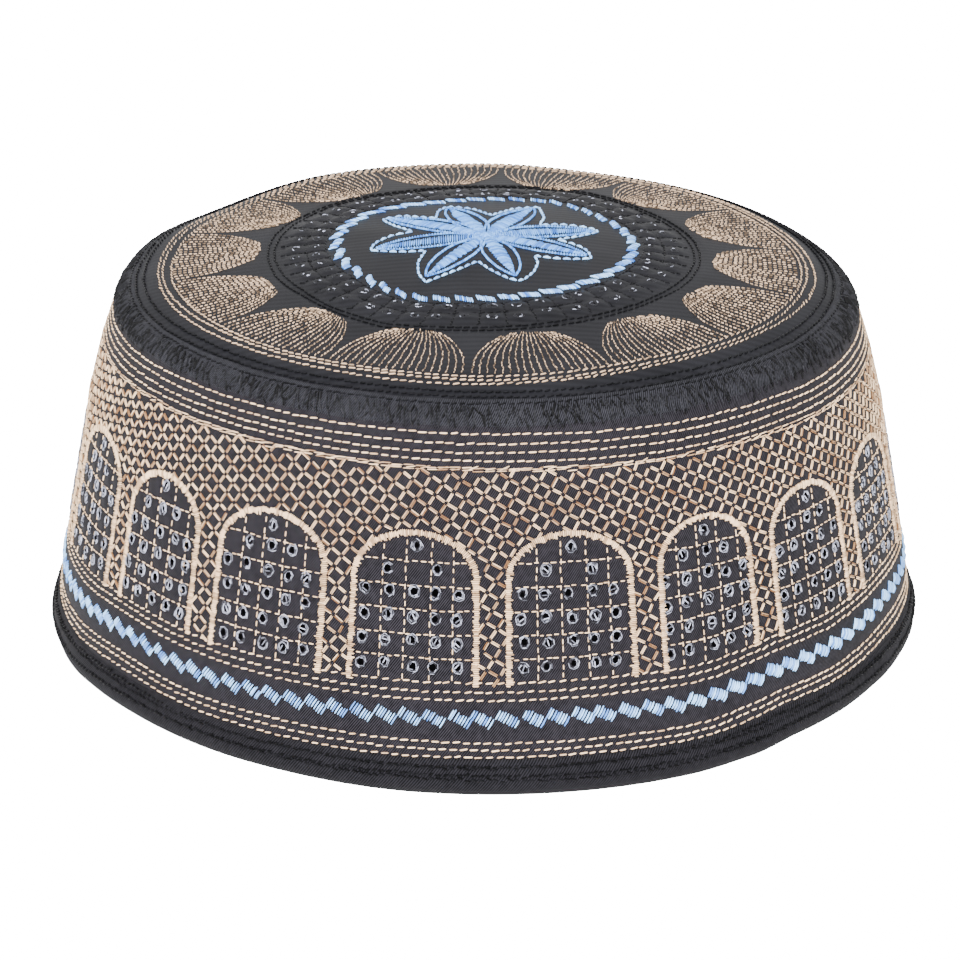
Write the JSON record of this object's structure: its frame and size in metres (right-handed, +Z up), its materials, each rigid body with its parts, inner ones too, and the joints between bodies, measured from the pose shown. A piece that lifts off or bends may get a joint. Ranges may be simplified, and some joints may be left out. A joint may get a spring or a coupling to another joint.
{
  "type": "prayer cap",
  "caption": "Round brimless prayer cap with a low domed crown, a tapered quilted side band and a bound hem, open below for the head.",
  "frame": {"origin": "on the floor, at the middle of the ring that the hem stands on", "axes": "+Z up through the middle of the crown, -Y towards the front of the cap as it was pictured, +X to the right of that view"},
  "size_m": [0.188, 0.1881, 0.0856],
  "materials": {
    "crown_satin": "charcoal satin-weave cloth, quilted and embroidered",
    "shoulder_overcast": "black overcast thread over the shoulder seam",
    "side_twill": "charcoal twill cloth, quilted and embroidered in beige, grey and light blue",
    "hem_tape": "black twill tape with rows of black stitching"
  },
  "bodies": {
    "root": {"crown_panel": "crown_satin", "seam_binding": "shoulder_overcast", "side_band": "side_twill", "hem_binding": "hem_tape"}
  },
  "joints": []
}
